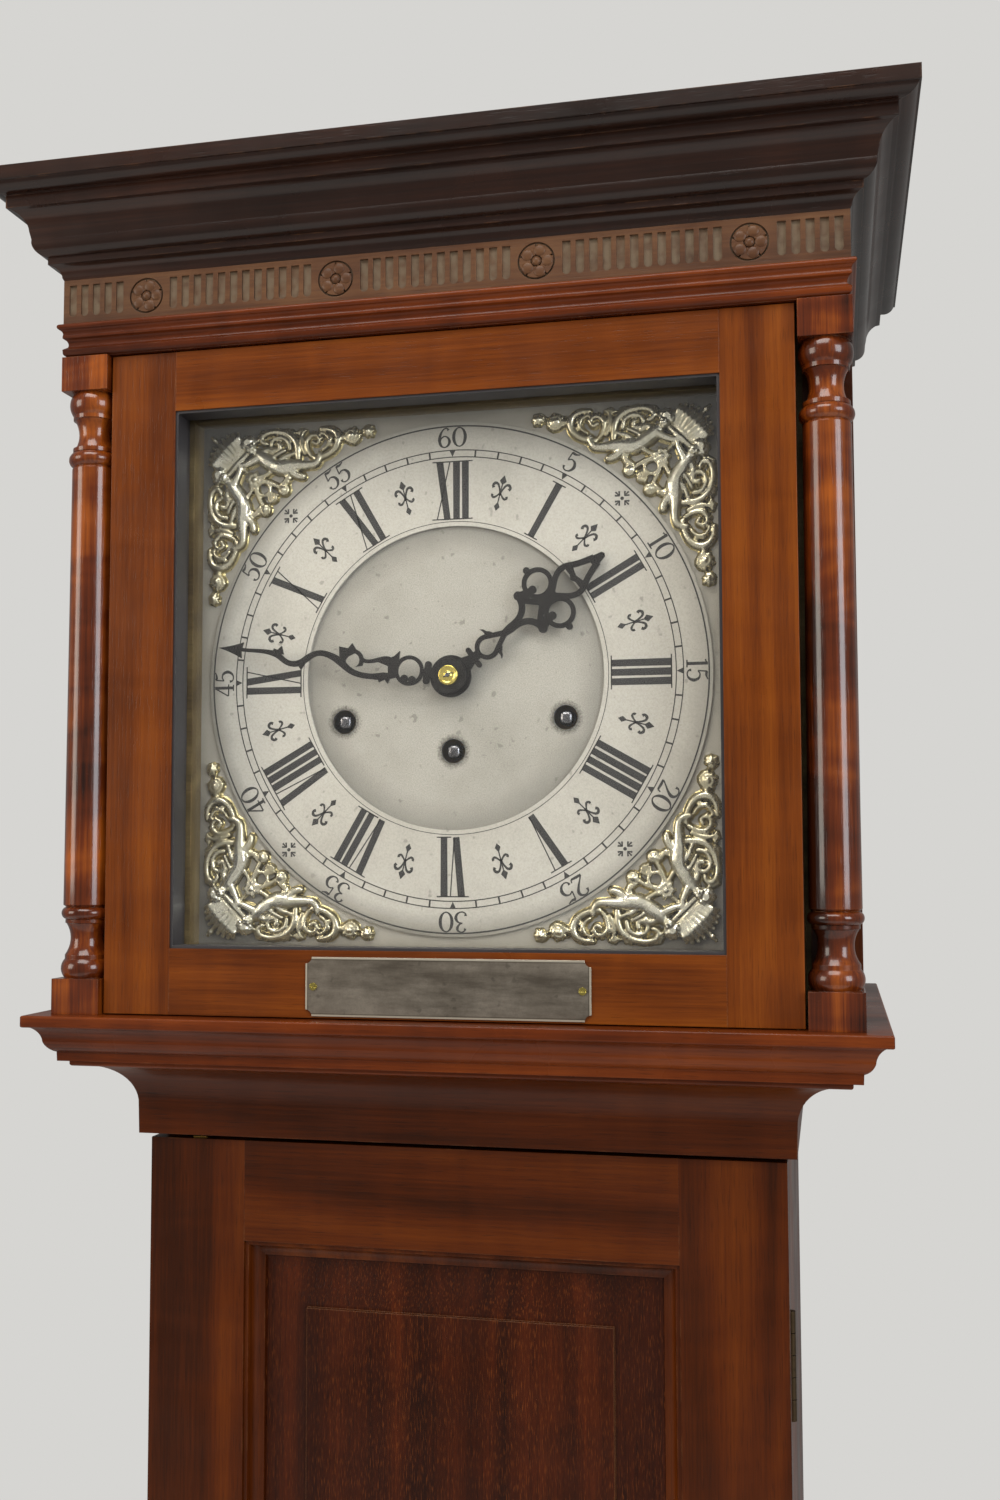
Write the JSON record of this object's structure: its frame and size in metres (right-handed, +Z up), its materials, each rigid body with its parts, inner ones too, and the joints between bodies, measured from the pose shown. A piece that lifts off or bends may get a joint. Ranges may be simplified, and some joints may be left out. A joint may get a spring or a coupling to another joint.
{
  "type": "longcase clock",
  "caption": "Longcase clock with a flat-topped hood, turned columns, square dial with chapter ring, and a panelled trunk door.",
  "frame": {"origin": "on the floor, at the middle of the bounding box seen from above", "axes": "+X to the right as seen from the front, +Y to the wall behind, +Z up; the front faces -Y"},
  "size_m": [0.4914, 0.3052, 1.9718],
  "materials": {
    "case_wood": "polished",
    "panel_wood": "polished",
    "door_wood": "polished",
    "moulding_wood": "polished",
    "dark_wood": "polished",
    "carved_wood": "satin",
    "mask_wood": "satin",
    "back_wood": "unfinished",
    "slip_paint": "gloss",
    "glass": "clear",
    "silvered": "satin",
    "dial_silver": "matted",
    "spandrel_brass": "satin",
    "hand_steel": "gloss",
    "brass": "polished",
    "dark_brass": "tarnished",
    "steel": "satin",
    "line": "twisted gut"
  },
  "bodies": {
    "case": {"plinth_skirting": "case_wood", "base_front_frame": "case_wood", "base_panel": "case_wood", "base_carcase": "case_wood", "base_moulding": "case_wood", "trunk_carcase": "case_wood", "backboard": "back_wood", "throat_moulding": "case_wood", "trunk_hinge_plates": "dark_brass", "dial_plate": "dial_silver", "chapter_ring": "silvered", "corner_spandrels": "spandrel_brass", "movement_frame": "brass", "weight_lines": "line", "chime_rods": "steel"},
    "trunk_door": {"trunk_door_stiles": "case_wood", "trunk_door_rails": "case_wood", "trunk_door_sticking": "case_wood", "trunk_door_panel": "panel_wood", "trunk_hinge_flaps": "dark_brass", "trunk_door_catch": "brass"},
    "trunk_latch": {"trunk_door_latch": "brass"},
    "hood": {"hood_sides": "case_wood", "hood_top_board": "back_wood", "cornice": "dark_wood", "carved_frieze": "carved_wood", "architrave": "moulding_wood", "column_left": "dark_wood", "column_right": "dark_wood", "hood_shelf": "moulding_wood", "dial_mask": "mask_wood"},
    "hood_door": {"hood_door_stiles": "door_wood", "hood_door_rails": "door_wood", "glazing_slip": "slip_paint", "glass_pane": "glass", "plaque": "silvered", "plaque_screws": "steel", "hood_door_pivots": "dark_brass"},
    "minute_arbor": {"minute_hand": "hand_steel", "hand_nut": "brass", "centre_arbor": "brass"},
    "hour_pipe": {"hour_hand": "hand_steel", "hour_wheel": "brass"},
    "minute_wheel": {"minute_wheel": "brass"},
    "great_wheel": {"great_wheel": "brass"},
    "third_arbor": {"third_arbor": "brass"},
    "escape_arbor": {"escape_arbor": "brass"},
    "anchor": {"anchor": "steel"},
    "pendulum": {"pendulum_rod": "steel", "pendulum_bob": "brass"},
    "hammers": {"chime_hammers": "brass"},
    "barrel_strike": {"barrel_strike": "brass"},
    "weight_strike": {"weight_strike": "brass"},
    "pulley_strike": {"pulley_strike": "brass"},
    "barrel_going": {"barrel_going": "brass"},
    "weight_going": {"weight_going": "brass"},
    "pulley_going": {"pulley_going": "brass"},
    "barrel_chime": {"barrel_chime": "brass"},
    "weight_chime": {"weight_chime": "brass"},
    "pulley_chime": {"pulley_chime": "brass"}
  },
  "joints": [
    {"name": "hood_slide", "type": "slide", "parent": "case", "child": "hood", "axis": [0, -1, 0], "range_m": [0, 0.3]},
    {"name": "hood_door_hinge", "type": "hinge", "parent": "hood", "child": "hood_door", "pos_m": [0.1814, -0.1126, 1.696], "axis": [0, 0, 1], "range_deg": [0, 100]},
    {"name": "trunk_door_hinge", "type": "hinge", "parent": "case", "child": "trunk_door", "pos_m": [0.1737, -0.0574, 0.9722], "axis": [0, 0, 1], "range_deg": [0, 110]},
    {"name": "trunk_latch_turn", "type": "hinge", "parent": "trunk_door", "child": "trunk_latch", "pos_m": [-0.146, -0.0774, 0.9722], "axis": [0, -1, 0], "range_deg": [0, 90]},
    {"name": "minute_turn", "type": "hinge", "parent": "case", "child": "minute_arbor", "pos_m": [0, -0.0884, 1.696], "axis": [0, 1, 0], "continuous": true},
    {"name": "hour_turn", "type": "hinge", "parent": "case", "child": "hour_pipe", "pos_m": [0, -0.0844, 1.696], "axis": [0, 1, 0], "continuous": true},
    {"name": "minute_wheel_turn", "type": "hinge", "parent": "case", "child": "minute_wheel", "pos_m": [0.01782, -0.0424, 1.67818], "axis": [0, 1, 0], "continuous": true},
    {"name": "great_wheel_turn", "type": "hinge", "parent": "case", "child": "great_wheel", "pos_m": [0, -0.0254, 1.656], "axis": [0, 1, 0], "continuous": true},
    {"name": "third_turn", "type": "hinge", "parent": "case", "child": "third_arbor", "pos_m": [0.014, 0.0116, 1.71731], "axis": [0, 1, 0], "continuous": true},
    {"name": "escape_turn", "type": "hinge", "parent": "case", "child": "escape_arbor", "pos_m": [0, 0.0016, 1.73634], "axis": [0, 1, 0], "continuous": true},
    {"name": "pendulum_swing", "type": "hinge", "parent": "case", "child": "pendulum", "pos_m": [0, 0.0566, 1.76321], "axis": [0, 1, 0], "range_deg": [-2.5, 2.5]},
    {"name": "anchor_rock", "type": "hinge", "parent": "case", "child": "anchor", "pos_m": [0, 0.0026, 1.76321], "axis": [0, 1, 0], "range_deg": [-2.5, 2.5]},
    {"name": "weight_strike_fall", "type": "slide", "parent": "case", "child": "weight_strike", "axis": [0, 0, 1], "range_m": [0, 1.14], "deforming": ["weight_lines"]},
    {"name": "barrel_strike_turn", "type": "hinge", "parent": "case", "child": "barrel_strike", "pos_m": [-0.0615, -0.0004, 1.673], "axis": [0, 1, 0], "range_deg": [0, 5670]},
    {"name": "pulley_strike_turn", "type": "hinge", "parent": "weight_strike", "child": "pulley_strike", "pos_m": [-0.0615, -0.0004, 0.4], "axis": [0, 1, 0], "range_deg": [0, 2836]},
    {"name": "weight_going_fall", "type": "slide", "parent": "case", "child": "weight_going", "axis": [0, 0, 1], "range_m": [0, 1.14], "deforming": ["weight_lines"]},
    {"name": "barrel_going_turn", "type": "hinge", "parent": "case", "child": "barrel_going", "pos_m": [0, -0.0004, 1.656], "axis": [0, 1, 0], "range_deg": [0, 5670]},
    {"name": "pulley_going_turn", "type": "hinge", "parent": "weight_going", "child": "pulley_going", "pos_m": [0, -0.0004, 0.4], "axis": [0, 1, 0], "range_deg": [0, 2836]},
    {"name": "weight_chime_fall", "type": "slide", "parent": "case", "child": "weight_chime", "axis": [0, 0, 1], "range_m": [0, 1.14], "deforming": ["weight_lines"]},
    {"name": "barrel_chime_turn", "type": "hinge", "parent": "case", "child": "barrel_chime", "pos_m": [0.0615, -0.0004, 1.673], "axis": [0, 1, 0], "range_deg": [0, 5670]},
    {"name": "pulley_chime_turn", "type": "hinge", "parent": "weight_chime", "child": "pulley_chime", "pos_m": [0.0615, -0.0004, 0.4], "axis": [0, 1, 0], "range_deg": [0, 2836]},
    {"name": "hammers_lift", "type": "hinge", "parent": "case", "child": "hammers", "pos_m": [0.1, 0.0746, 1.554], "axis": [-1, 0, 0], "range_deg": [0, 18], "stiffness_Nm_per_rad": 0.06, "springref_deg": -34.38}
  ],
  "couplings": [
    {"joint": "hour_turn", "follows": "minute_turn", "ratio": 0.083333},
    {"joint": "minute_wheel_turn", "follows": "minute_turn", "ratio": -1},
    {"joint": "great_wheel_turn", "follows": "minute_turn", "ratio": -0.083333},
    {"joint": "third_turn", "follows": "minute_turn", "ratio": -7.5},
    {"joint": "escape_turn", "follows": "minute_turn", "ratio": 60},
    {"joint": "anchor_rock", "follows": "pendulum_swing", "ratio": 1},
    {"joint": "barrel_strike_turn", "follows": "weight_strike_fall", "rad_per_m": 86.768},
    {"joint": "pulley_strike_turn", "follows": "weight_strike_fall", "rad_per_m": 43.384},
    {"joint": "barrel_going_turn", "follows": "weight_going_fall", "rad_per_m": 86.768},
    {"joint": "pulley_going_turn", "follows": "weight_going_fall", "rad_per_m": 43.384},
    {"joint": "barrel_chime_turn", "follows": "weight_chime_fall", "rad_per_m": 86.768},
    {"joint": "pulley_chime_turn", "follows": "weight_chime_fall", "rad_per_m": 43.384}
  ]
}
